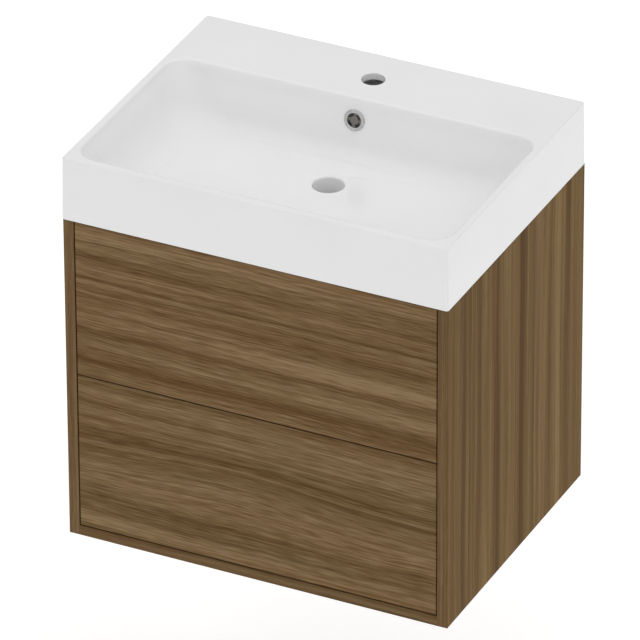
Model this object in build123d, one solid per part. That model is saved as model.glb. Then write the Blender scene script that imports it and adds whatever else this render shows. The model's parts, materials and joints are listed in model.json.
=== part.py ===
from build123d import *
from math import cos, radians, sin, sqrt, tan
import os

# Wall-hung vanity unit: a basin on a cabinet with two drawers set in flush with its frame.
# Millimetres. X runs to the right, the front faces -Y and Z is up. The origin is on the wall
# plane, at the middle of the cabinet's underside.

# Cabinet
cabinet_width = 598.0
cabinet_depth = 456.5
cabinet_height = 520.4
board = 16.0
edge_band = 0.8
upper_back_rail_height = 100.0
lower_back_rail_height = 90.0
front_rail_height = 80.0
front_rail_setback = 6.0

# Basin
basin_side_overhang = 1.0
basin_front_overhang = 3.5
basin_height = 99.0
basin_side_draft = 1.8
basin_front_draft = 0.9
basin_corner_radius = 4.0
basin_edge_radius = 2.0
apron_wall = 9.0
deck_thickness = 10.0

# Bowl, measured from the wall and from the top of the basin
rim_width = 14.0
bowl_back = 126.0
bowl_depth = 95.0
dish_drop = 7.0
bowl_wall = 9.0
rim_radius = 4.0
rim_corner_radius = 32.0
floor_corner_radius = 76.0
back_lean = 10.0
back_fillet = 28.0
side_lean = 12.0
side_fillet = 50.0
front_lean = 12.0
front_fillet = 40.0
bowl_sections = 7

# Holes in the basin
tap_hole_diameter = 35.0
tap_hole_from_wall = 70.0
waste_hole_diameter = 46.0
waste_from_wall = 218.0
waste_neck_length = 46.0
waste_neck_wall = 9.0
waste_seat_radius = 3.5
waste_seat_width = 6.0
overflow_height = 35.0
overflow_hole_diameter = 26.0
duct_width = 32.0
duct_depth = 10.0
duct_wall = 6.0
duct_fall = 16.0
duct_above_overflow = 20.0

# Overflow ring
ring_diameter = 32.0
ring_bore = 21.4
ring_lip = 2.0
ring_lip_radius = 1.2
ring_sleeve_length = 7.0
ring_seat_clearance = 0.2
hub_diameter = 13.0
hub_thickness = 4.0
hub_recess = 0.5
hub_edge_radius = 1.2
hub_arm_width = 5.0
hub_arm_thickness = 2.5
hub_turn = -6.0

# Bedding strip between basin and cabinet
bedding_thickness = 1.0
bedding_width = 6.0
bedding_inset = 1.5

# Drawer fronts and the gaps round them
front_thickness = 16.0
front_edge_radius = 0.6
front_side_gap = 2.0
front_bottom_gap = 2.0
front_middle_gap = 2.5
front_top_gap = 3.0

# Drawer boxes
drawer_board = 16.0
drawer_bottom = 8.0
drawer_bottom_recess = 13.0
drawer_groove = 6.0
drawer_side_gap = 5.0
space_behind_drawers = 40.5
drawer_above_front_edge = 24.0
trap_width = 180.0
trap_clear_of_waste = 67.0
trap_corner_radius = 40.0
trap_wall = 4.0

# Travel
drawer_push_in = 2.0
running_gap = 0.4

# Runners, by their profile. They are as long as the drawer boxes.
runner_sheet = 1.5
runner_flange_height = 38.0
runner_channel_width = 24.0
runner_lip = 4.5
runner_slab = 5.5
runner_web_width = 6.0
runner_to_drawer_side = 1.0
runner_setback = 3.5
clip_width = 28.0
clip_length = 40.0
clip_height = 9.0
clip_waist = 22.0
clip_tip_height = 4.5
clip_tab = 12.0
clip_tab_thickness = 3.0
clip_tab_drop = 5.4

# Brackets and hanging plates
bracket_sheet = 2.0
bracket_leg = 28.0
bracket_height = 60.0
bracket_above_bottom = 14.0
bracket_screw_from_corner = 16.8
hanging_sheet = 2.0
hanging_side_leg = 50.0
hanging_back_leg = 56.0
hanging_height = 60.0
hanging_below_top = 45.4
wall_slot_length = 20.0
wall_slot_width = 9.0
wall_slot_from_side = 28.0
wall_screw_clearance_hole = 28.0

# Push latches
latch_length = 44.0
latch_ear = 8.0
latch_ear_thickness = 3.0
latch_depth = 16.0
latch_height = 16.0
latch_axis = 9.5
latch_setback = 8.0
latch_below_rail = 21.0
latch_below_front_edge = 39.0
latch_above_box = 16.0
plunger_diameter = 8.4
plunger_length = 45.0
plunger_tip_radius = 2.0
latch_gap_left = 0.3

# Fasteners
cam_diameter = 15.0
cam_depth = 12.5
cam_from_end = 24.0
cam_slot = 1.6
cam_slot_length = 9.0
cam_slot_depth = 1.5
bolt_diameter = 6.0
bolt_in_side = 11.0
bolt_passage = 7.0
dowel_diameter = 8.0
dowel_length = 30.0
dowel_in_side = 10.0
dowel_from_bolt = 32.0
dowel_from_rail_top = 14.0
panel_joint_from_edge = 60.0
rail_joint_from_edge = 20.0
screw_diameter = 3.8
screw_head_diameter = 7.0
screw_head_height = 1.6
short_screw = 12.0
box_screw = 32.0
box_screw_from_edge = 25.0
runner_screw_from_end = 37.0
runner_screw_below_top = 10.0
hanging_screw_spread = 36.0
hole_clearance = 0.1

# Places worked out from the dimensions above
outer_x = cabinet_width / 2
inner_x = outer_x - board
basin_width = cabinet_width + 2 * basin_side_overhang
basin_depth = cabinet_depth + basin_front_overhang
basin_bottom = cabinet_height + bedding_thickness
basin_top = basin_bottom + basin_height
bowl_width = basin_width - 2 * rim_width
bowl_front = basin_depth - rim_width
deck_underside = basin_top - deck_thickness
bowl_wall_depth = bowl_depth - dish_drop
waste_y = -waste_from_wall
waste_radius = waste_hole_diameter / 2
neck_radius = waste_radius + waste_neck_wall
neck_bottom = basin_top - bowl_depth - waste_neck_length
front_face_y = -cabinet_depth
front_back_y = front_face_y + front_thickness
front_span = basin_bottom - front_top_gap - board - front_bottom_gap
front_height = (front_span - front_middle_gap) / 2
lower_front_z = board + front_bottom_gap
upper_front_z = lower_front_z + front_height + front_middle_gap
upper_latch_z = cabinet_height - front_rail_height - latch_below_rail
lower_latch_z = lower_front_z + front_height - latch_below_front_edge
box_outer_x = inner_x - drawer_side_gap
box_inner_x = box_outer_x - drawer_board
box_rear_y = -space_behind_drawers
runner_length = box_rear_y - front_back_y
trap_front_y = waste_y - trap_clear_of_waste
front_rail_y = front_back_y + front_rail_setback


def block(x, y, z):
    """A box between the lower and upper value along each axis."""
    size = Box(x[1] - x[0], y[1] - y[0], z[1] - z[0])
    return Pos((x[0] + x[1]) / 2, (y[0] + y[1]) / 2, (z[0] + z[1]) / 2) * size


def rod(start, direction, length, diameter):
    """A round bar from a start point along a direction."""
    bar = Cylinder(diameter / 2, length, align=(Align.CENTER, Align.CENTER, Align.MIN))
    return Plane(origin=start, z_dir=direction) * bar


def left_of(shape):
    """The same piece on the other side of the unit."""
    return mirror(shape, about=Plane.YZ)


def folded(points, sheet):
    """The section of a sheet folded square along a line of points, as a sketch."""
    section = Sketch()
    for (x0, y0), (x1, y1) in zip(points, points[1:]):
        leg = Rectangle(abs(x1 - x0) + sheet, abs(y1 - y0) + sheet)
        section += Pos((x0 + x1) / 2, (y0 + y1) / 2) * leg
    return section


def screw(seat, direction, length=short_screw):
    """A pan-head screw whose head sits on a seat point and whose tip points along a direction."""
    head = rod(seat, Vector(*direction) * -1, screw_head_height, screw_head_diameter)
    return head + rod(seat, direction, length, screw_diameter)


def screw_hole(seat, direction, length=short_screw):
    """The hole for a screw, a little wider and deeper than its shank."""
    return rod(seat, direction, length + hole_clearance, screw_diameter + 2 * hole_clearance)


def along_y(section, front, rear):
    """A section in X and Z, drawn out from the rear to the front."""
    plane = Plane(origin=(0, rear, 0), x_dir=(1, 0, 0), z_dir=(0, -1, 0))
    return extrude(plane * section, rear - front)


def along_z(section, bottom, top):
    """A section in X and Y, drawn up from the bottom to the top."""
    return extrude(Pos(0, 0, bottom) * section, top - bottom)


def save(name, *shapes):
    """Writes one node's solids to its own file."""
    solids = [solid for shape in shapes for solid in shape.solids()]
    whole = solids[0] if len(solids) == 1 else Compound(children=solids)
    export_step(whole, f"parts/{name}.step")


# Basin


def apron_block(inset, bottom, top):
    """The apron's drafted outline between two heights, drawn in from its outer faces."""
    side_slope = basin_side_draft / basin_height
    front_slope = basin_front_draft / basin_height
    start = bottom - basin_bottom
    height = top - bottom
    width = basin_width - 2 * inset - 2 * side_slope * start
    depth = basin_depth - 2 * inset - front_slope * start
    side_in = side_slope * height
    front_in = front_slope * height
    corner = (Align.MIN, Align.MIN, Align.MIN)
    wedge = Wedge(width, height, depth, side_in, 0, width - side_in, depth - front_in, align=corner)
    return Pos(-width / 2, -inset, bottom) * Rot(90, 0, 0) * wedge


def wall_inset(depth, full_depth, lean, fillet):
    """How far a bowl wall has come in at a depth: a leaning straight, then an arc to the floor."""
    slope = radians(lean)
    straight = full_depth - fillet * (1 - sin(slope))
    if depth <= straight:
        return depth * tan(slope)
    below_centre = depth - (full_depth - fillet)
    return straight * tan(slope) + fillet * cos(slope) - sqrt(max(fillet**2 - below_centre**2, 0))


def bowl_section(depth, grow):
    """The bowl's rounded outline at a depth below the rim, grown outwards."""
    full = bowl_wall_depth + grow
    side = bowl_width / 2 + grow - wall_inset(depth, full, side_lean, side_fillet + grow)
    back = -bowl_back + grow - wall_inset(depth, full, back_lean, back_fillet + grow)
    front = -bowl_front - grow + wall_inset(depth, full, front_lean, front_fillet + grow)
    corner = rim_corner_radius + grow + (floor_corner_radius - rim_corner_radius) * depth / full
    outline = RectangleRounded(2 * side, back - front, corner)
    return Pos(0, (back + front) / 2, basin_top - depth) * outline


def bowl_solid(grow):
    """The bowl's hollow, or with a growth the body round it: curved walls over a shallow dish."""
    full = bowl_wall_depth + grow
    steps = [full * sin(radians(90 * i / bowl_sections)) for i in range(bowl_sections + 1)]
    walls = loft([bowl_section(depth, grow) for depth in steps])
    flat = 2 * (waste_radius + waste_seat_width + grow)
    centre = Pos(0, waste_y, basin_top - bowl_depth - grow) * RectangleRounded(flat, flat, 0.49 * flat)
    dish = loft([bowl_section(full, grow), centre], ruled=True)
    return walls + dish


def duct_solid(grow):
    """The overflow duct behind the bowl and under its floor, or with a growth the wall round it."""
    slope = tan(radians(back_lean))
    top = basin_top - overflow_height + duct_above_overflow
    mouth = neck_bottom + duct_wall
    elbow = mouth + duct_fall

    def wall_y(z):
        return -bowl_back - (basin_top - z) * slope + bowl_wall

    inner = [
        (wall_y(top), top),
        (wall_y(top) + duct_depth, top),
        (wall_y(elbow) + duct_depth, elbow),
        (waste_y + neck_radius, mouth),
        (waste_y, mouth),
        (waste_y, mouth + duct_depth),
        (waste_y + neck_radius, mouth + duct_depth),
        (wall_y(elbow + duct_depth), elbow + duct_depth),
    ]
    outline = make_face(Polyline(*inner, close=True))
    if grow:
        outline = offset(outline, grow, kind=Kind.INTERSECTION)
    section = Plane.YZ * outline
    return extrude(section, duct_width / 2 + grow, both=True)


def overflow_plane():
    """The plane of the overflow hole on the bowl's back wall, facing into the bowl."""
    lean = radians(back_lean)
    y = -bowl_back - overflow_height * tan(lean)
    facing = (0, -cos(lean), sin(lean))
    return Plane(origin=(0, y, basin_top - overflow_height), x_dir=(1, 0, 0), z_dir=facing)


def make_basin():
    shell = apron_block(0, basin_bottom, basin_top)
    shell = fillet(shell.edges().filter_by(lambda e: abs(e.tangent_at(0.5).Z) > 0.5), basin_corner_radius)
    shell = fillet(shell.edges().group_by(Axis.Z)[-1], basin_edge_radius)
    shell -= apron_block(apron_wall, basin_bottom - 1, deck_underside)
    neck = rod((0, waste_y, neck_bottom), (0, 0, 1), bowl_depth, 2 * neck_radius)
    body = shell + bowl_solid(bowl_wall) + neck + duct_solid(duct_wall)
    body -= block((-outer_x, outer_x), (-basin_depth, 0), (basin_top, basin_top + bowl_depth))
    body -= bowl_solid(0)
    rim = [
        edge
        for edge in body.edges().filter_by_position(Axis.Z, basin_top, basin_top)
        if abs(edge.center().X) < bowl_width / 2 + 1 and -bowl_front - 1 < edge.center().Y < -bowl_back + 1
    ]
    body = fillet(rim, rim_radius)
    body -= duct_solid(0)
    body -= rod((0, waste_y, neck_bottom - 1), (0, 0, 1), bowl_depth, waste_hole_diameter)
    seat_z = basin_top - bowl_depth
    seat = body.edges().filter_by(GeomType.CIRCLE).filter_by_position(Axis.Z, seat_z - 0.1, seat_z + 0.1)
    body = fillet(seat.sort_by(SortBy.RADIUS)[0], waste_seat_radius)
    under_deck = (0, -tap_hole_from_wall, deck_underside - 1)
    body -= rod(under_deck, (0, 0, 1), deck_thickness + 2, tap_hole_diameter)
    hole = Cylinder(overflow_hole_diameter / 2, 2 * (bowl_wall + duct_depth / 2))
    body -= overflow_plane() * hole
    return body


def make_overflow_ring():
    """A polished ring with a rounded lip and a sleeve, pushed into the overflow hole."""
    sleeve_radius = overflow_hole_diameter / 2 - hole_clearance
    ring = Cylinder(ring_diameter / 2, ring_lip, align=(Align.CENTER, Align.CENTER, Align.MIN))
    ring += Cylinder(sleeve_radius, ring_sleeve_length, align=(Align.CENTER, Align.CENTER, Align.MAX))
    ring -= Cylinder(ring_bore / 2, 4 * ring_sleeve_length)
    ring = fillet(ring.edges().group_by(Axis.Z)[-1], ring_lip_radius)
    return overflow_plane().offset(ring_seat_clearance) * ring


def make_overflow_insert():
    """A hub on four arms inside the ring's bore, which leaves four slots for the water."""
    top = (Align.CENTER, Align.CENTER, Align.MAX)
    hub = Cylinder(hub_diameter / 2, hub_thickness, align=top)
    hub = fillet(hub.edges().group_by(Axis.Z)[-1], hub_edge_radius)
    reach = Cylinder(ring_bore / 2 - hole_clearance, 2 * hub_thickness)
    for turn in (0, 90):
        arm = Box(ring_bore, hub_arm_width, hub_arm_thickness, align=top)
        hub += reach & Pos(0, 0, hub_arm_thickness - hub_thickness) * Rot(0, 0, turn) * arm
    face = overflow_plane().offset(ring_seat_clearance + ring_lip - hub_recess)
    return face * Rot(0, 0, hub_turn) * hub


# Fittings that join the cabinet's boards, all on the right side


def cam_joints():
    """Where each bolt runs along X, as (y, z), and which way its cam housing faces."""
    rear = -board / 2
    front_rail_middle = front_rail_y + board / 2
    lift = rail_joint_from_edge
    return [
        (-panel_joint_from_edge, board / 2, (0, 0, 1)),
        (panel_joint_from_edge - cabinet_depth, board / 2, (0, 0, 1)),
        (rear, cabinet_height - upper_back_rail_height + lift, (0, -1, 0)),
        (rear, board + lift, (0, -1, 0)),
        (front_rail_middle, cabinet_height - front_rail_height + lift, (0, 1, 0)),
    ]


def dowel_places():
    """Where each dowel runs along X, as (y, z)."""
    from_edge = panel_joint_from_edge + dowel_from_bolt
    return [
        (-from_edge, board / 2),
        (from_edge - cabinet_depth, board / 2),
        (-board / 2, cabinet_height - dowel_from_rail_top),
        (-board / 2, board + lower_back_rail_height - dowel_from_rail_top),
        (front_rail_y + board / 2, cabinet_height - dowel_from_rail_top),
    ]


def cam_bolt(y, z, grow=0.0):
    """A bolt from the middle of its cam housing into the side panel."""
    start = (inner_x - cam_from_end, y, z)
    return rod(start, (1, 0, 0), cam_from_end + bolt_in_side + grow, bolt_diameter + 2 * grow)


def cam_housing(y, z, facing):
    """A round cam housing set flush in a board, with a cross slot and a bore for its bolt."""
    face = Vector(inner_x - cam_from_end, y, z) + Vector(*facing) * (board / 2)
    plane = Plane(origin=face, z_dir=facing)
    cam = rod(face, Vector(*facing) * -1, cam_depth, cam_diameter)
    for turn in (0, 90):
        slot = Box(cam_slot_length, cam_slot, 2 * cam_slot_depth)
        cam -= plane * Rot(0, 0, turn) * slot
    return cam - cam_bolt(y, z, hole_clearance)


def cam_holes(y, z, facing):
    """The pocket for a cam housing and the passage for its bolt, in the board's end."""
    face = Vector(inner_x - cam_from_end, y, z) + Vector(*facing) * (board / 2)
    depth = cam_depth + hole_clearance
    pocket = rod(face, Vector(*facing) * -1, depth, cam_diameter + 2 * hole_clearance)
    return pocket + rod((inner_x - cam_from_end, y, z), (1, 0, 0), cam_from_end, bolt_passage)


def dowel(y, z, grow=0.0):
    """A dowel between a side panel and a board's end."""
    start = (inner_x + dowel_in_side - dowel_length - grow, y, z)
    return rod(start, (1, 0, 0), dowel_length + 2 * grow, dowel_diameter + 2 * grow)


# Hanging plates


def hanging_screws():
    """Seats of the screws that hold the right hanging plate to its side panel."""
    y = -board - hanging_side_leg / 2
    x = inner_x - hanging_sheet
    middle = cabinet_height - hanging_below_top
    return [((x, y, middle + s * hanging_screw_spread / 2), (1, 0, 0)) for s in (-1, 1)]


def make_hanging_plate():
    """An angle on the side panel and the back rail, slotted for a wall screw."""
    middle = cabinet_height - hanging_below_top
    edge = hanging_sheet / 2
    corner = (inner_x - edge, -board - edge)
    side_end = (corner[0], corner[1] - hanging_side_leg)
    back_end = (corner[0] - hanging_back_leg, corner[1])
    section = folded([side_end, corner, back_end], hanging_sheet)
    plate = along_z(section, middle - hanging_height / 2, middle + hanging_height / 2)
    slot_centre = (inner_x - wall_slot_from_side, -board, middle)
    facing = Plane(origin=slot_centre, x_dir=(1, 0, 0), z_dir=(0, -1, 0))
    slot = extrude(facing * SlotOverall(wall_slot_length, wall_slot_width), 2 * hanging_sheet, both=True)
    return plate - slot - [screw_hole(*place) for place in hanging_screws()]


def wall_screw_passage():
    """The wide hole in the back rail that a wall screw passes."""
    start = (inner_x - wall_slot_from_side, -2 * board, cabinet_height - hanging_below_top)
    return rod(start, (0, 1, 0), 3 * board, wall_screw_clearance_hole)


# Runners, on the right side. A section is drawn from the side panel inwards and from the runner's base up.

channel_near = drawer_side_gap + drawer_board + runner_to_drawer_side
channel_far = channel_near + runner_channel_width
channel_height = 2 * runner_sheet + 2 * running_gap + runner_slab
runner_stack = 2 * channel_height + running_gap


def runner_base(front_z):
    """The height of a runner's underside, for a drawer front whose lower edge is at front_z."""
    return front_z + drawer_above_front_edge + drawer_bottom_recess - runner_stack


def runner_point(inwards, up, base):
    """A point of a runner's section."""
    return (inner_x - inwards, base + up)


def channel_paths(base, web, lips):
    """Two sides of a channel between the heights of its web and its lips, as fold lines."""
    half = runner_sheet / 2
    reach = runner_lip + half
    near = [(channel_near + half, web), (channel_near + half, lips), (channel_near + reach, lips)]
    far = [(channel_far - half, web), (channel_far - half, lips), (channel_far - reach, lips)]
    return [[runner_point(d, h, base) for d, h in side] for side in (near, far)]


def cabinet_member(base):
    """The fixed rail: a flange on the side panel, a web, and a channel that opens upwards."""
    half = runner_sheet / 2
    line = [(half, runner_flange_height), (half, half), (channel_far - half, half)]
    section = folded([runner_point(d, h, base) for d, h in line], runner_sheet)
    for path in channel_paths(base, half, channel_height - half):
        section += folded(path, runner_sheet)
    front = front_back_y + runner_setback
    rail = along_y(section, front, front + runner_length)
    return rail - [screw_hole(*place) for place in runner_screws(base)]


def middle_member(base):
    """The travelling rail: two slabs joined by a web, one running in each channel."""
    beside = runner_sheet + running_gap
    across = (inner_x - channel_far + beside, inner_x - channel_near - beside)
    lower = base + runner_sheet + running_gap
    upper = lower + runner_slab + 2 * runner_sheet + 3 * running_gap
    middle = inner_x - (channel_near + channel_far) / 2
    front = front_back_y + runner_setback
    length = (front, front + runner_length)
    rail = block(across, length, (lower, lower + runner_slab))
    rail += block(across, length, (upper, upper + runner_slab))
    web = (middle - runner_web_width / 2, middle + runner_web_width / 2)
    return rail + block(web, length, (lower + runner_slab, upper))


def drawer_member(base):
    """The drawer's rail: a channel that opens downwards, under the drawer's bottom."""
    half = runner_sheet / 2
    web = runner_stack - half
    lips = channel_height + running_gap + half
    line = [(channel_near + half, web), (channel_far - half, web)]
    section = folded([runner_point(d, h, base) for d, h in line], runner_sheet)
    for path in channel_paths(base, web, lips):
        section += folded(path, runner_sheet)
    front = front_back_y + running_gap
    return along_y(section, front, front + runner_length)


def runner_screws(base):
    """Seats of the screws that hold a cabinet member to its side panel."""
    x = inner_x - runner_sheet
    z = base + runner_flange_height - runner_screw_below_top
    front = front_back_y + runner_setback
    places = (front + runner_screw_from_end, front + runner_length - 2 * runner_screw_from_end)
    return [((x, y, z), (1, 0, 0)) for y in places]


def runner_clip(base):
    """The clip at a drawer's front that locks it to its rail, with a finger tab."""
    near = inner_x - channel_far - running_gap
    top = base + runner_stack
    front = front_back_y + running_gap
    outline = [
        (front, top),
        (front + clip_length, top),
        (front + clip_length, top - clip_tip_height),
        (front + clip_waist, top - clip_height),
        (front, top - clip_height),
    ]
    side = Plane(origin=(near, 0, 0), x_dir=(0, 1, 0), z_dir=(1, 0, 0))
    clip = extrude(side * make_face(Polyline(*outline, close=True)), -clip_width)
    tab_y = (front, front + clip_tab_thickness)
    tab_z = (top - clip_height - clip_tab_drop, top - clip_height)
    return clip + block((near - clip_tab, near), tab_y, tab_z)


# Drawer boxes


def trap_prism(grow, bottom, top):
    """The space kept for the waste trap, open to the rear with two rounded corners."""
    rear = box_rear_y + drawer_board
    outline = Rectangle(trap_width + 2 * grow, rear - trap_front_y + grow, align=(Align.CENTER, Align.MIN))
    outline = fillet(outline.vertices().group_by(Axis.Y)[0], trap_corner_radius + grow)
    return extrude(Pos(0, trap_front_y - grow, bottom) * outline, top - bottom)


def bracket_screws(bottom):
    """Seats of the two screws of a front bracket: one into the side, one into the front."""
    z = bottom + bracket_above_bottom + bracket_height / 2
    along = bracket_screw_from_corner
    side = ((box_inner_x - bracket_sheet, front_back_y + along, z), (1, 0, 0))
    front = ((box_inner_x - along, front_back_y + bracket_sheet, z), (0, -1, 0))
    return [side, front]


def make_bracket(bottom):
    """An angle between a drawer's side and its front."""
    edge = bracket_sheet / 2
    corner = (box_inner_x - edge, front_back_y + edge)
    ends = ((corner[0], corner[1] + bracket_leg), (corner[0] - bracket_leg, corner[1]))
    section = folded([ends[0], corner, ends[1]], bracket_sheet)
    low = bottom + bracket_above_bottom
    bracket = along_z(section, low, low + bracket_height)
    return bracket - [screw_hole(*place) for place in bracket_screws(bottom)]


def back_screws(bottom, top):
    """Seats of the two screws from a drawer's side into its back."""
    y = box_rear_y - drawer_board / 2
    heights = (bottom + box_screw_from_edge, top - box_screw_from_edge)
    return [((box_outer_x, y, z), (-1, 0, 0), box_screw) for z in heights]


def make_drawer(name, front_z, latch_z, has_trap):
    """Saves one drawer's own pieces under their names. Its box ends below its latches."""
    side_z = front_z + drawer_above_front_edge
    board_z = side_z + drawer_bottom_recess
    inside_z = board_z + drawer_bottom
    top_z = latch_z - latch_above_box
    base = runner_base(front_z)
    box_y = (front_back_y, box_rear_y)
    back_y = (box_rear_y - drawer_board, box_rear_y)
    screws = bracket_screws(inside_z) + back_screws(inside_z, top_z)
    holes = [screw_hole(*place) for place in screws]
    both_holes = holes + [left_of(hole) for hole in holes]

    half_front = inner_x - front_side_gap
    front_y = (front_face_y, front_back_y)
    front = block((-half_front, half_front), front_y, (front_z, front_z + front_height))
    front = fillet(front.edges(), front_edge_radius)
    groove_x = box_inner_x + drawer_groove
    bottom = block((-groove_x, groove_x), box_y, (board_z, inside_z))
    loose = hole_clearance
    groove = block((0, groove_x + loose), box_y, (board_z - loose, inside_z + loose))
    side = block((box_inner_x, box_outer_x), box_y, (side_z, top_z)) - groove - holes
    back_inner_x = trap_width / 2 + trap_wall if has_trap else 0
    back = block((back_inner_x, box_inner_x), back_y, (inside_z, top_z)) - holes
    if has_trap:
        bottom -= trap_prism(0, front_z, top_z)
        surround = trap_prism(trap_wall, inside_z, top_z) - trap_prism(0, front_z, top_z)
        beyond = block((-box_outer_x, box_outer_x), (box_rear_y, 0), (front_z, top_z))
        save(f"{name}_trap_surround", surround - beyond)
        save(f"{name}_drawer_back_right", back)
        save(f"{name}_drawer_back_left", left_of(back))
    else:
        save(f"{name}_drawer_back", back + left_of(back))
    save(f"{name}_drawer_front", front - both_holes)
    save(f"{name}_drawer_bottom", bottom)
    save(f"{name}_drawer_side_right", side)
    save(f"{name}_drawer_side_left", left_of(side))
    pairs = {
        "front_brackets": make_bracket(inside_z),
        "runner_drawer_members": drawer_member(base),
        "runner_middle_members": middle_member(base),
        "runner_cabinet_members": cabinet_member(base),
        "runner_clips": runner_clip(base),
    }
    for kind, right in pairs.items():
        save(f"{name}_{kind}", right, left_of(right))
    heads = [screw(*place) for place in screws]
    save(f"{name}_drawer_screws", *heads, *[left_of(head) for head in heads])


# Push latches, on the right side


def latch_screws(z):
    """Seats of a latch housing's two screws, one in each ear."""
    x = inner_x - latch_ear_thickness
    front = front_back_y + latch_setback + latch_ear / 2
    places = (front, front + latch_length + latch_ear)
    return [((x, y, z), (1, 0, 0)) for y in places]


def plunger(z, grow=0.0):
    """A latch's plunger, short of the drawer front by what the front is pushed in."""
    tip = front_back_y + drawer_push_in + latch_gap_left
    start = (inner_x - latch_axis, tip, z)
    bar = rod(start, (0, 1, 0), plunger_length + grow, plunger_diameter + 2 * grow)
    return bar if grow else fillet(bar.edges().group_by(Axis.Y)[0], plunger_tip_radius)


def latch_housing(z):
    """A latch's housing, with an ear at each end and a bore for the plunger."""
    front = front_back_y + latch_setback
    tall = (z - latch_height / 2, z + latch_height / 2)
    ears = (front, front + latch_length + 2 * latch_ear)
    middle = (front + latch_ear, front + latch_ear + latch_length)
    housing = block((inner_x - latch_ear_thickness, inner_x), ears, tall)
    housing += block((inner_x - latch_depth, inner_x), middle, tall)
    holes = [screw_hole(*place) for place in latch_screws(z)]
    return housing - plunger(z, running_gap / 2) - holes


# Cabinet


def cabinet_screws():
    """Seats of every screw in the right side panel, by what it holds."""
    runners = []
    latches = []
    for front_z, latch_z in ((upper_front_z, upper_latch_z), (lower_front_z, lower_latch_z)):
        runners += runner_screws(runner_base(front_z))
        latches += latch_screws(latch_z)
    return {"hanging": hanging_screws(), "runner": runners, "latch": latches}


def make_cabinet():
    """Saves the boards, their fittings and the hanging plates."""
    band_y = front_face_y + edge_band
    full_width = (-inner_x, inner_x)
    cams = cam_joints()
    places = dowel_places()
    end_holes = [cam_holes(*cam) for cam in cams] + [dowel(*place, hole_clearance) for place in places]
    end_holes += [left_of(hole) for hole in end_holes]

    side = block((inner_x, outer_x), (band_y, 0), (0, cabinet_height))
    side -= [cam_bolt(y, z, hole_clearance) for y, z, facing in cams]
    side -= [dowel(*place, hole_clearance) for place in places]
    for kind, seats in cabinet_screws().items():
        side -= [screw_hole(*seat) for seat in seats]
        screws = [screw(*seat) for seat in seats]
        save(f"{kind}_screws", *screws, *[left_of(item) for item in screws])
    save("side_panel_right", side)
    save("side_panel_left", left_of(side))

    passages = [wall_screw_passage(), left_of(wall_screw_passage())]
    upper_z = (cabinet_height - upper_back_rail_height, cabinet_height)
    lower_z = (board, board + lower_back_rail_height)
    front_z = (cabinet_height - front_rail_height, cabinet_height)
    save("bottom_panel", block(full_width, (band_y, 0), (0, board)) - end_holes)
    save("upper_back_rail", block(full_width, (-board, 0), upper_z) - end_holes - passages)
    save("lower_back_rail", block(full_width, (-board, 0), lower_z) - end_holes)
    save("front_rail", block(full_width, (front_rail_y, front_rail_y + board), front_z) - end_holes)

    side_band = block((inner_x, outer_x), (front_face_y, band_y), (0, cabinet_height))
    bottom_band = block(full_width, (front_face_y, band_y), (0, board))
    save("cabinet_edge_bands", side_band, left_of(side_band), bottom_band)

    strip_x = (outer_x - bedding_inset - bedding_width, outer_x - bedding_inset)
    strip_z = (cabinet_height, basin_bottom)
    strip = block(strip_x, (front_face_y + bedding_inset, -bedding_inset), strip_z)
    rear_y = (-bedding_inset - bedding_width, -bedding_inset)
    rear_strip = block((-strip_x[0], strip_x[0]), rear_y, strip_z)
    save("basin_bedding_strips", strip, left_of(strip), rear_strip)

    housings = [cam_housing(*cam) for cam in cams]
    bolts = [cam_bolt(y, z) for y, z, facing in cams]
    dowels = [dowel(*place) for place in places]
    plate = make_hanging_plate()
    save("cam_housings", *housings, *[left_of(item) for item in housings])
    save("cam_bolts", *bolts, *[left_of(item) for item in bolts])
    save("dowels", *dowels, *[left_of(item) for item in dowels])
    save("hanging_plates", plate, left_of(plate))


def make_latches(name, z):
    """Saves one drawer's pair of latches."""
    housing = latch_housing(z)
    rod_out = plunger(z)
    save(f"{name}_latch_housings", housing, left_of(housing))
    save(f"{name}_latch_plungers", rod_out, left_of(rod_out))


os.makedirs("parts", exist_ok=True)
save("basin", make_basin())
save("overflow_ring", make_overflow_ring())
save("overflow_insert", make_overflow_insert())
make_cabinet()
make_drawer("upper", upper_front_z, upper_latch_z, True)
make_drawer("lower", lower_front_z, lower_latch_z, False)
make_latches("upper", upper_latch_z)
make_latches("lower", lower_latch_z)
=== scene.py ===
import json
from math import radians

import bpy
from mathutils import Matrix, Vector


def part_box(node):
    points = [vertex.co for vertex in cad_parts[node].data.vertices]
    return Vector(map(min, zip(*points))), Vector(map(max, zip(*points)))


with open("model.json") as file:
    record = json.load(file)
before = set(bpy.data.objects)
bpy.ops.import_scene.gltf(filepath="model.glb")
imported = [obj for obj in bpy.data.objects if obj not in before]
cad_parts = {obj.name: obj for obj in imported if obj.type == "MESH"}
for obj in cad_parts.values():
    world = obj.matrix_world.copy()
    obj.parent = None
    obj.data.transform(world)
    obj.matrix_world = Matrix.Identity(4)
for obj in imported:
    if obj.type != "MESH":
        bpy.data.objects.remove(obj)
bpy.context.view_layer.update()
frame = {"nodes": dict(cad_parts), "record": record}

# A wall-hung vanity unit. Metres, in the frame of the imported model: X to the right, the front
# faces -Y, Z up, with the wall at Y = 0 and the cabinet's underside at Z = 0. Every piece keeps
# its CAD mesh and gets a procedural material here.

mm = 0.001
white = (1.0, 1.0, 1.0, 1.0)
side_low, side_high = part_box("side_panel_right")
inner_x = side_low.x
outer_x = side_high.x
front_depth = 456.5 * mm


# Camera, light and floor

camera_place = Vector((4.804388, -10.133032, 6.850612))
camera_aim = Vector((-0.37573827, 0.77315807, -0.51092793))
camera_roll = radians(-0.2673)
camera_lens = 505.5
sensor_width = 36.0
nearest_seen = 1.0
farthest_seen = 100.0

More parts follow.
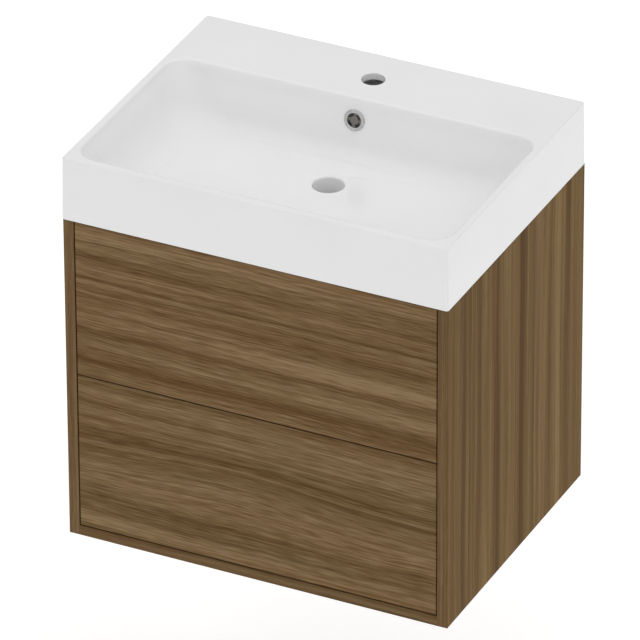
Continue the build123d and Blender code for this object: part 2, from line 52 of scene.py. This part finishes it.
# The unit hangs above the floor. A pool of light is painted on the paper: its colour and its glow are
# brightest round a place behind the unit, and fade between two distances from there.
floor_z = -0.42
floor_reach = 9.0
floor_centre = (-0.5, 1.2, floor_z)
bright_reach = 2.4
dim_reach = 5.0
bright_paper = 0.9
dim_paper = 0.7
paper_roughness = 0.9
floor_glow = 0.35

# An even glow, and soft ones from a few sides, each (direction, how narrow, strength)
sky_everywhere = 0.3
sky_glow = {
    "above": ((0.0, 0.0, 1.0), 1.0, 0.66),
    "front": ((0.0, -1.0, 0.0), 1.0, 0.31),
    "key": ((0.72, 0.08, 0.69), 6.0, 0.36),
}


# Shader building blocks


class Nodes:
    """A node tree, built by short calls that return output sockets."""

    def __init__(self, tree):
        self.tree = tree

    def node(self, kind, inputs=None, **settings):
        made = self.tree.nodes.new(kind)
        for name, value in settings.items():
            setattr(made, name, value)
        for key, value in (inputs or {}).items():
            self.feed(made.inputs[key], value)
        return made

    def feed(self, socket, value):
        """Links an output socket to this input, or sets the input to a plain value."""
        if isinstance(value, bpy.types.NodeSocket):
            self.tree.links.new(value, socket)
        else:
            socket.default_value = value

    def math(self, operation, *values):
        made = self.node("ShaderNodeMath", operation=operation)
        for socket, value in zip(made.inputs, values):
            self.feed(socket, value)
        return made.outputs[0]

    def add(self, *values):
        total = values[0]
        for value in values[1:]:
            total = self.math("ADD", total, value)
        return total

    def scaled(self, value, factor, offset=0.0):
        return self.math("MULTIPLY_ADD", value, factor, offset)

    def choose(self, switch, when_on, when_off):
        """One value where the switch is 1, the other where it is 0."""
        return self.math("MULTIPLY_ADD", switch, self.math("SUBTRACT", when_on, when_off), when_off)

    def squared(self, value, centre, reach):
        """The square of how many reaches a value lies from a centre."""
        away = self.math("DIVIDE", self.add(value, -centre), reach)
        return self.math("MULTIPLY", away, away)

    def bell(self, squares):
        """1 where the squares are 0, falling smoothly to 0."""
        return self.math("EXPONENT", self.scaled(squares, -1.0))

    def vector(self, x, y, z):
        return self.node("ShaderNodeCombineXYZ", {"X": x, "Y": y, "Z": z}).outputs[0]

    def noise(self, vector, scale=1.0, detail=2.0):
        made = self.node("ShaderNodeTexNoise", {"Vector": vector, "Scale": scale, "Detail": detail})
        return made.outputs["Fac"]

    def ramp(self, value, stops):
        """A colour ramp whose stops are (place, shade), a shade being a colour or one grey number."""
        made = self.node("ShaderNodeValToRGB", {"Fac": value})
        elements = made.color_ramp.elements
        while len(elements) < len(stops):
            elements.new(0.5)
        for element, (place, shade) in zip(elements, stops):
            element.position = place
            element.color = shade if isinstance(shade, tuple) else (shade, shade, shade, 1.0)
        return made.outputs["Color"]

    def multiply(self, share, first, second):
        """The first colour, multiplied by the second by a share of 0 to 1."""
        made = self.node("ShaderNodeMix", data_type="RGBA", blend_type="MULTIPLY")
        colours = [socket for socket in made.inputs if socket.type == "RGBA"]
        self.feed(made.inputs["Factor"], share)
        self.feed(colours[0], first)
        self.feed(colours[1], second)
        return next(socket for socket in made.outputs if socket.type == "RGBA")


class Graph(Nodes):
    """A material's nodes."""

    def __init__(self, name):
        self.material = bpy.data.materials.new(name)
        self.material.use_nodes = True
        super().__init__(self.material.node_tree)
        self.shader = self.tree.nodes["Principled BSDF"]
        self.place = self.node("ShaderNodeTexCoord").outputs["Object"]
        self.xyz = self.node("ShaderNodeSeparateXYZ", {"Vector": self.place}).outputs

    def set(self, **inputs):
        for name, value in inputs.items():
            self.feed(self.shader.inputs[name.replace("_", " ")], value)

    def stretched(self, *factors):
        """The object's coordinates, with a scale of their own along X, Y and Z."""
        return self.vector(*(self.scaled(self.xyz[axis], factor) for axis, factor in zip("XYZ", factors)))

    def bump(self, height, distance, strength):
        made = self.node("ShaderNodeBump", {"Height": height, "Distance": distance, "Strength": strength})
        self.feed(self.shader.inputs["Normal"], made.outputs["Normal"])


def colour(red, green, blue):
    """A shader colour from screen values of 0 to 255, by the sRGB curve."""
    def linear(value):
        share = value / 255
        return share / 12.92 if share <= 0.04045 else ((share + 0.055) / 1.055) ** 2.4
    return (linear(red), linear(green), linear(blue), 1.0)


def shaded(shade, factor):
    """A lighter or darker version of a shader colour."""
    return tuple(min(factor * part, 1.0) for part in shade[:3]) + (1.0,)


def paint(node, material):
    """Gives a CAD piece its material."""
    mesh = frame["nodes"][node].data
    mesh.materials.clear()
    mesh.materials.append(material)


# The studio


def make_camera():
    """The camera at the photograph's angle."""
    data = bpy.data.cameras.new("camera")
    data.lens = camera_lens
    data.sensor_width = sensor_width
    data.clip_start = nearest_seen
    data.clip_end = farthest_seen
    camera = bpy.data.objects.new("camera", data)
    turn = camera_aim.to_track_quat("-Z", "Y").to_matrix() @ Matrix.Rotation(camera_roll, 3, "Z")
    camera.matrix_world = Matrix.Translation(camera_place) @ turn.to_4x4()
    bpy.context.scene.collection.objects.link(camera)
    bpy.context.scene.camera = camera


def make_sky():
    """White light from all round, most from above, the front and the upper right, with no film look."""
    scene = bpy.context.scene
    scene.view_settings.view_transform = "Standard"
    scene.view_settings.look = "None"
    world = bpy.data.worlds.new("studio")
    world.use_nodes = True
    sky = Nodes(world.node_tree)
    toward = sky.node("ShaderNodeTexCoord").outputs["Generated"]
    glow = sky_everywhere
    for direction, narrowness, strength in sky_glow.values():
        facing = sky.node("ShaderNodeVectorMath", {0: toward, 1: direction}, operation="DOT_PRODUCT")
        lobe = sky.math("POWER", sky.math("MAXIMUM", facing.outputs["Value"], 0.0), narrowness)
        glow = sky.math("MULTIPLY_ADD", lobe, strength, glow)
    background = world.node_tree.nodes["Background"]
    sky.feed(background.inputs["Color"], white)
    sky.feed(background.inputs["Strength"], glow)
    scene.world = world


def make_floor():
    """A wide pale floor."""
    quarters = ((-1, -1), (1, -1), (1, 1), (-1, 1))
    corners = [(floor_reach * x, floor_reach * y, floor_z) for x, y in quarters]
    mesh = bpy.data.meshes.new("studio_floor")
    mesh.from_pydata(corners, [], [(0, 1, 2, 3)])
    mesh.materials.append(pale_paper())
    floor = bpy.data.objects.new("studio_floor", mesh)
    bpy.context.scene.collection.objects.link(floor)


def pale_paper():
    """The floor's paper, with a painted pool of light: its colour and glow are brightest under and behind
    the unit and fade further out.
    """
    graph = Graph("studio_paper")
    away = graph.node("ShaderNodeVectorMath", {0: graph.place, 1: floor_centre}, operation="DISTANCE")
    limits = {
        "Value": away.outputs["Value"],
        "From Min": bright_reach,
        "From Max": dim_reach,
        "To Min": 1.0,
        "To Max": 0.0,
    }
    near = graph.node("ShaderNodeMapRange", limits, interpolation_type="SMOOTHSTEP").outputs["Result"]
    # Painted pool of light: the paper is paler and glows near the unit, and is greyer further out
    graph.set(Base_Color=graph.ramp(near, [(0.0, dim_paper), (1.0, bright_paper)]))
    graph.set(Roughness=paper_roughness)
    graph.set(Emission_Color=white, Emission_Strength=graph.scaled(near, floor_glow))
    return graph.material


# Walnut decor

walnut_dark = colour(84, 62, 36)
walnut_mid = colour(109, 87, 59)
walnut_light = colour(134, 112, 83)
walnut_tones = [(0.12, walnut_dark), (0.5, walnut_mid), (0.88, walnut_light)]
walnut_relief = 0.05 * mm
walnut_sheen = 0.04
band_contrast = 1.2

# A slow change of hue over the print, with its times per metre along and across the grain
greenish = (0.985, 1.01, 0.985, 1.0)
reddish = (1.03, 0.987, 0.98, 1.0)
hue_along = 2.0
hue_across = 26.0

# How the grain wanders: (times per metre along it, times per metre across it, sway, detail)
wanderings = [
    (2.6, 7.0, 16 * mm, 2.0),
    (14.0, 40.0, 3 * mm, 1.0),
]

# Steps from a print's seed to the seeds of its noise patterns
wandering_step = 3.0
streak_step = 11.0
hue_step = 67.0

# The print's streaks: (times per metre along the grain, times per metre across it, strength).
# The last two are also its relief.
front_streaks = [
    (0.8, 40.0, 0.30),
    (1.2, 85.0, 0.28),
    (2.0, 170.0, 0.34),
    (6.0, 190.0, 0.20),
    (3.0, 340.0, 0.42),
    (14.0, 420.0, 0.46),
    (30.0, 800.0, 0.66),
    (50.0, 2200.0, 0.36),
]
side_streaks = [
    (0.8, 40.0, 0.40),
    (1.2, 85.0, 0.45),
    (2.0, 170.0, 0.40),
    (3.0, 340.0, 0.40),
    (30.0, 800.0, 0.35),
    (70.0, 2200.0, 0.25),
]

# The broad bands of each print: (place across the grain, half width, shade), with a shade below
# zero for darker. The places are heights on the fronts, and run from the front edge to the wall
# on the right side. The left side has none.
lower_bands = [
    (245 * mm, 9 * mm, 0.10),
    (215 * mm, 12 * mm, 0.08),
    (170 * mm, 9 * mm, -0.22),
    (153 * mm, 5 * mm, -0.18),
    (110 * mm, 18 * mm, 0.10),
    (70 * mm, 6 * mm, -0.16),
    (48 * mm, 4 * mm, -0.10),
    (30 * mm, 10 * mm, 0.08),
]
upper_bands = [
    (505 * mm, 10 * mm, 0.14),
    (470 * mm, 5 * mm, -0.12),
    (433 * mm, 3 * mm, -0.20),
    (402 * mm, 5 * mm, -0.22),
    (368 * mm, 10 * mm, 0.16),
    (347 * mm, 7 * mm, -0.12),
    (325 * mm, 5 * mm, 0.12),
    (296 * mm, 13 * mm, -0.24),
    (273 * mm, 5 * mm, 0.08),
]
side_bands = [
    (-401 * mm, 14 * mm, -0.16),
    (-352 * mm, 7 * mm, -0.12),
    (-331 * mm, 12 * mm, 0.14),
    (-292 * mm, 12 * mm, -0.22),
    (-262 * mm, 14 * mm, 0.10),
    (-209 * mm, 13 * mm, -0.26),
    (-161 * mm, 5 * mm, 0.16),
    (-86 * mm, 13 * mm, 0.16),
    (-56 * mm, 10 * mm, -0.18),
]

# On the edge bands, one broad shade for each: the left one, the right one and the lower one
edge_bands = [
    (-291 * mm, 25 * mm, 0.14),
    (291 * mm, 25 * mm, -0.045),
    (8 * mm, 25 * mm, -0.09),
]

# The grain of the lower front bows over a place: (place along, place across, reach along, reach
# across, rise)
lower_arch = (-25 * mm, 150 * mm, 150 * mm, 55 * mm, 16 * mm)

# What the finished colour of a print is multiplied by. The sides' tint, with less blue than the fronts',
# is partly the print's tone and partly painted to cancel the sheen of sky light on the side panels.
upper_tint = (1.20, 1.185, 1.17)
lower_tint = (1.10, 1.11, 1.09)
side_tint_cutting_sheen = (1.09, 1.04, 0.83)


def along_x(graph):
    return graph.xyz["X"]


def along_z(graph):
    return graph.xyz["Z"]


def up_and_back(graph):
    """Height on the fronts, carried on over the boards' upper and lower faces."""
    return graph.add(graph.xyz["Z"], graph.xyz["Y"], front_depth)


def over_side(graph):
    """Depth on the right side panel, carried on over its edges. The left one lies elsewhere in it."""
    return graph.add(graph.xyz["Y"], graph.xyz["X"], -outer_x)


def on_upright(graph):
    """1 on the cabinet's upright edges, 0 between them."""
    return graph.math("GREATER_THAN", graph.math("ABSOLUTE", graph.xyz["X"]), inner_x)


def along_edge(graph):
    """Up the cabinet's upright edges, and along X on its lower one."""
    return graph.choose(on_upright(graph), graph.xyz["Z"], graph.xyz["X"])


def over_edge(graph):
    """Across the cabinet's edges: X on the upright ones, and up the lower one."""
    return graph.choose(on_upright(graph), graph.xyz["X"], graph.xyz["Z"])


def grain_level(graph, run, rise, seed, arch):
    """The place across the grain after the grain has wandered, and bowed over its arch."""
    level = rise
    for index, (run_scale, rise_scale, sway, detail) in enumerate(wanderings):
        step = seed + wandering_step * index
        place = graph.vector(graph.scaled(run, run_scale), graph.scaled(rise, rise_scale), step)
        level = graph.add(level, graph.scaled(graph.noise(place, 1.0, detail), sway, -sway / 2))
    if arch:
        run_centre, rise_centre, run_reach, rise_reach, height = arch
        sideways = graph.squared(run, run_centre, run_reach)
        upwards = graph.squared(rise, rise_centre, rise_reach)
        hump = graph.bell(graph.add(sideways, upwards))
        level = graph.add(level, graph.scaled(hump, -height))
    return level


def walnut(name, along, across, streaks, seed, bands=(), arch=None, tint=(1.0, 1.0, 1.0)):
    """Printed walnut: streaks of several widths along one axis, with broad soft bands.

    along and across map the object's x, y and z to metres along and across the grain.
    """
    graph = Graph(name)
    run = along(graph)
    level = grain_level(graph, run, across(graph), seed, arch)
    tone = 0.5
    layers = []
    for index, (run_scale, level_scale, strength) in enumerate(streaks):
        step = seed + streak_step * index
        place = graph.vector(graph.scaled(run, run_scale), graph.scaled(level, level_scale), step)
        layers.append(graph.noise(place, 1.0, 0.0))
        tone = graph.add(tone, graph.scaled(layers[-1], strength, -strength / 2))
    for centre, half_width, shade in bands:
        band = graph.bell(graph.squared(level, centre, half_width))
        tone = graph.math("MULTIPLY_ADD", band, band_contrast * shade, tone)
    place = graph.vector(graph.scaled(run, hue_along), graph.scaled(level, hue_across), seed + hue_step)
    hue = graph.ramp(graph.noise(place, 1.0, 1.0), [(0.35, greenish), (0.65, reddish)])
    wood = graph.multiply(1.0, graph.ramp(tone, walnut_tones), hue)
    wood = graph.multiply(1.0, wood, tint + (1.0,))
    fibres, pores = layers[-2:]
    graph.set(Base_Color=wood, Roughness=graph.scaled(fibres, 0.2, 0.45), IOR=1.45)
    graph.set(Specular_IOR_Level=walnut_sheen)
    graph.bump(graph.add(graph.scaled(fibres, 0.6), graph.scaled(pores, 0.4)), walnut_relief, 0.5)
    return graph.material


def make_wood():
    """Walnut on the fronts, the sides, the cabinet's edges and the boards behind them."""
    lying = (along_x, up_and_back, front_streaks)
    upright = (along_z, over_side, side_streaks)
    prints = {
        "lower_drawer_front": (*lying, 1.0, lower_bands, lower_arch, lower_tint),
        "upper_drawer_front": (*lying, 2.0, upper_bands, None, upper_tint),
        # The side panels' tint partly paints out the sky's sheen on them
        "side_panel_right": (*upright, 3.0, side_bands, None, side_tint_cutting_sheen),
        "side_panel_left": (*upright, 4.0, (), None, side_tint_cutting_sheen),
        "cabinet_edge_bands": (along_edge, over_edge, side_streaks, 6.0, edge_bands),
    }
    for node, choices in prints.items():
        paint(node, walnut("walnut_" + node, *choices))
    boards = walnut("walnut_boards", *lying, 5.0)
    for node in ("bottom_panel", "upper_back_rail", "lower_back_rail", "front_rail"):
        paint(node, boards)


# The other materials, with how often each texture repeats, in times per metre, and its relief

glaze_clouds = 9.0
glaze_waves = 60.0
glaze_relief = 0.02 * mm
metal_tooth = 3000.0
metal_relief = 0.02 * mm
zinc_crystals = 260.0
zinc_stains = 30.0
zinc_relief = 0.02 * mm
linen_threads = 1500.0
linen_slubs = 60.0
linen_clouds = 25.0
linen_relief = 0.10 * mm
beech_grain = (60.0, 900.0, 900.0)
beech_flecks = (400.0, 2500.0, 2500.0)
beech_relief = 0.08 * mm
plastic_tooth = 2200.0
plastic_clouds = 40.0
plastic_relief = 0.03 * mm
foam_cells = 1400.0
foam_relief = 0.15 * mm


def glazed_ceramic():
    """White glaze: almost even, with a faint waviness that only shows in its reflections."""
    graph = Graph("ceramic")
    cloud = graph.noise(graph.place, glaze_clouds)
    tint = graph.ramp(cloud, [(0.35, colour(243, 243, 243)), (0.65, colour(245, 245, 245))])
    graph.set(Base_Color=tint, Roughness=graph.scaled(cloud, 0.04, 0.10), IOR=1.5)
    graph.bump(graph.noise(graph.place, glaze_waves, 1.0), glaze_relief, 0.3)
    return graph.material


def cast_metal(name, shade, roughness, blotch):
    """Bare or plated metal: cloudy patches of a size in metres, with a fine tooth."""
    graph = Graph(name)
    cloud = graph.noise(graph.place, 1 / blotch)
    tooth = graph.noise(graph.place, metal_tooth, 1.0)
    tint = graph.ramp(cloud, [(0.3, shaded(shade, 0.82)), (0.7, shaded(shade, 1.08))])
    dullness = graph.add(graph.scaled(cloud, 0.16, roughness - 0.1), graph.scaled(tooth, 0.04))
    graph.set(Base_Color=tint, Roughness=dullness, Metallic=1.0)
    graph.bump(graph.add(tooth, graph.scaled(cloud, 0.5)), metal_relief, 0.4)
    return graph.material


def galvanised_steel():
    """Zinc-coated sheet with its crystal spangle."""
    graph = Graph("galvanised_steel")
    crystals = graph.node("ShaderNodeTexVoronoi", {"Vector": graph.place, "Scale": zinc_crystals})
    tone = graph.node("ShaderNodeSeparateColor", {"Color": crystals.outputs["Color"]}).outputs["Red"]
    stain = graph.noise(graph.place, zinc_stains, 3.0)
    shade = colour(188, 190, 193)
    spangle = graph.ramp(tone, [(0.0, shaded(shade, 0.80)), (1.0, shaded(shade, 1.12))])
    tint = graph.multiply(0.35, spangle, graph.ramp(stain, [(0.3, 0.45), (0.7, 0.75)]))
    dullness = graph.add(graph.scaled(tone, 0.14, 0.28), graph.scaled(stain, 0.10))
    graph.set(Base_Color=tint, Roughness=dullness, Metallic=1.0)
    graph.bump(tone, zinc_relief, 0.5)
    return graph.material


def linen_board():
    """Grey foil printed and pressed like linen: fine threads both ways, some thicker than others."""
    graph = Graph("grey_board")
    weft = graph.noise(graph.stretched(linen_slubs, linen_slubs, linen_threads), 1.0, 1.0)
    warp = graph.noise(graph.stretched(linen_threads, linen_threads, linen_slubs), 1.0, 1.0)
    weave = graph.math("MULTIPLY", weft, warp)
    cloud = graph.noise(graph.place, linen_clouds)
    threads = graph.ramp(graph.add(weave, graph.scaled(cloud, 0.10)), [
        (0.16, colour(122, 120, 117)),
        (0.30, colour(146, 144, 141)),
        (0.46, colour(168, 166, 163)),
    ])
    graph.set(Base_Color=threads, Roughness=graph.scaled(weave, -0.4, 0.7))
    graph.bump(weave, linen_relief, 0.6)
    return graph.material


def beech_dowel():
    """Turned beech with its short flecks."""
    graph = Graph("beech")
    grain = graph.noise(graph.stretched(*beech_grain))
    fleck = graph.noise(graph.stretched(*beech_flecks))
    tone = graph.add(graph.scaled(grain, 0.7), graph.scaled(fleck, 0.3))
    graph.set(Base_Color=graph.ramp(tone, [(0.3, colour(176, 136, 92)), (0.7, colour(214, 180, 136))]))
    graph.set(Roughness=graph.scaled(fleck, 0.2, 0.5))
    graph.bump(tone, beech_relief, 0.6)
    return graph.material


def moulded_plastic(name, shade, roughness):
    """Spark-eroded moulding: a fine even tooth, slightly cloudy."""
    graph = Graph(name)
    tooth = graph.noise(graph.place, plastic_tooth)
    cloud = graph.noise(graph.place, plastic_clouds, 1.0)
    tone = graph.add(graph.scaled(tooth, 0.5), graph.scaled(cloud, 0.5))
    graph.set(Base_Color=graph.ramp(tone, [(0.3, shaded(shade, 0.90)), (0.7, shaded(shade, 1.06))]))
    graph.set(Roughness=graph.scaled(tooth, 0.16, roughness - 0.08))
    graph.bump(tooth, plastic_relief, 0.5)
    return graph.material


def foam_strip():
    """Dark foam with small open cells."""
    graph = Graph("bedding")
    cells = graph.node("ShaderNodeTexVoronoi", {"Vector": graph.place, "Scale": foam_cells})
    depth = cells.outputs["Distance"]
    graph.set(Base_Color=graph.ramp(depth, [(0.1, colour(66, 64, 62)), (0.6, colour(40, 39, 38))]))
    graph.set(Roughness=graph.scaled(depth, 0.1, 0.85))
    graph.bump(depth, foam_relief, 0.8)
    return graph.material


def make_other_looks():
    """Every other piece takes the look of its material slot, apart from the overflow's insert."""
    looks = {
        "ceramic": glazed_ceramic(),
        "chrome": cast_metal("chrome", colour(204, 205, 205), 0.12, 5 * mm),
        "bedding": foam_strip(),
        "grey_board": linen_board(),
        "galvanised_steel": galvanised_steel(),
        "fastener_steel": cast_metal("fastener_steel", colour(180, 181, 183), 0.3, 4 * mm),
        "zinc_casting": cast_metal("zinc_casting", colour(172, 172, 174), 0.42, 3 * mm),
        "beech": beech_dowel(),
        "grey_plastic": moulded_plastic("grey_plastic", colour(110, 111, 114), 0.45),
        "white_plastic": moulded_plastic("white_plastic", colour(222, 222, 220), 0.4),
    }
    for part in frame["record"]["subparts"]:
        if part["material_slot"] in looks:
            paint(part["node"], looks[part["material_slot"]])
    # The overflow's insert: grey plastic whose dark warm grey is partly its own and partly the painted
    # shade of the overflow's recess
    paint("overflow_insert", moulded_plastic("overflow_insert", colour(116, 113, 106), 0.4))


make_camera()
make_sky()
make_floor()
make_wood()
make_other_looks()
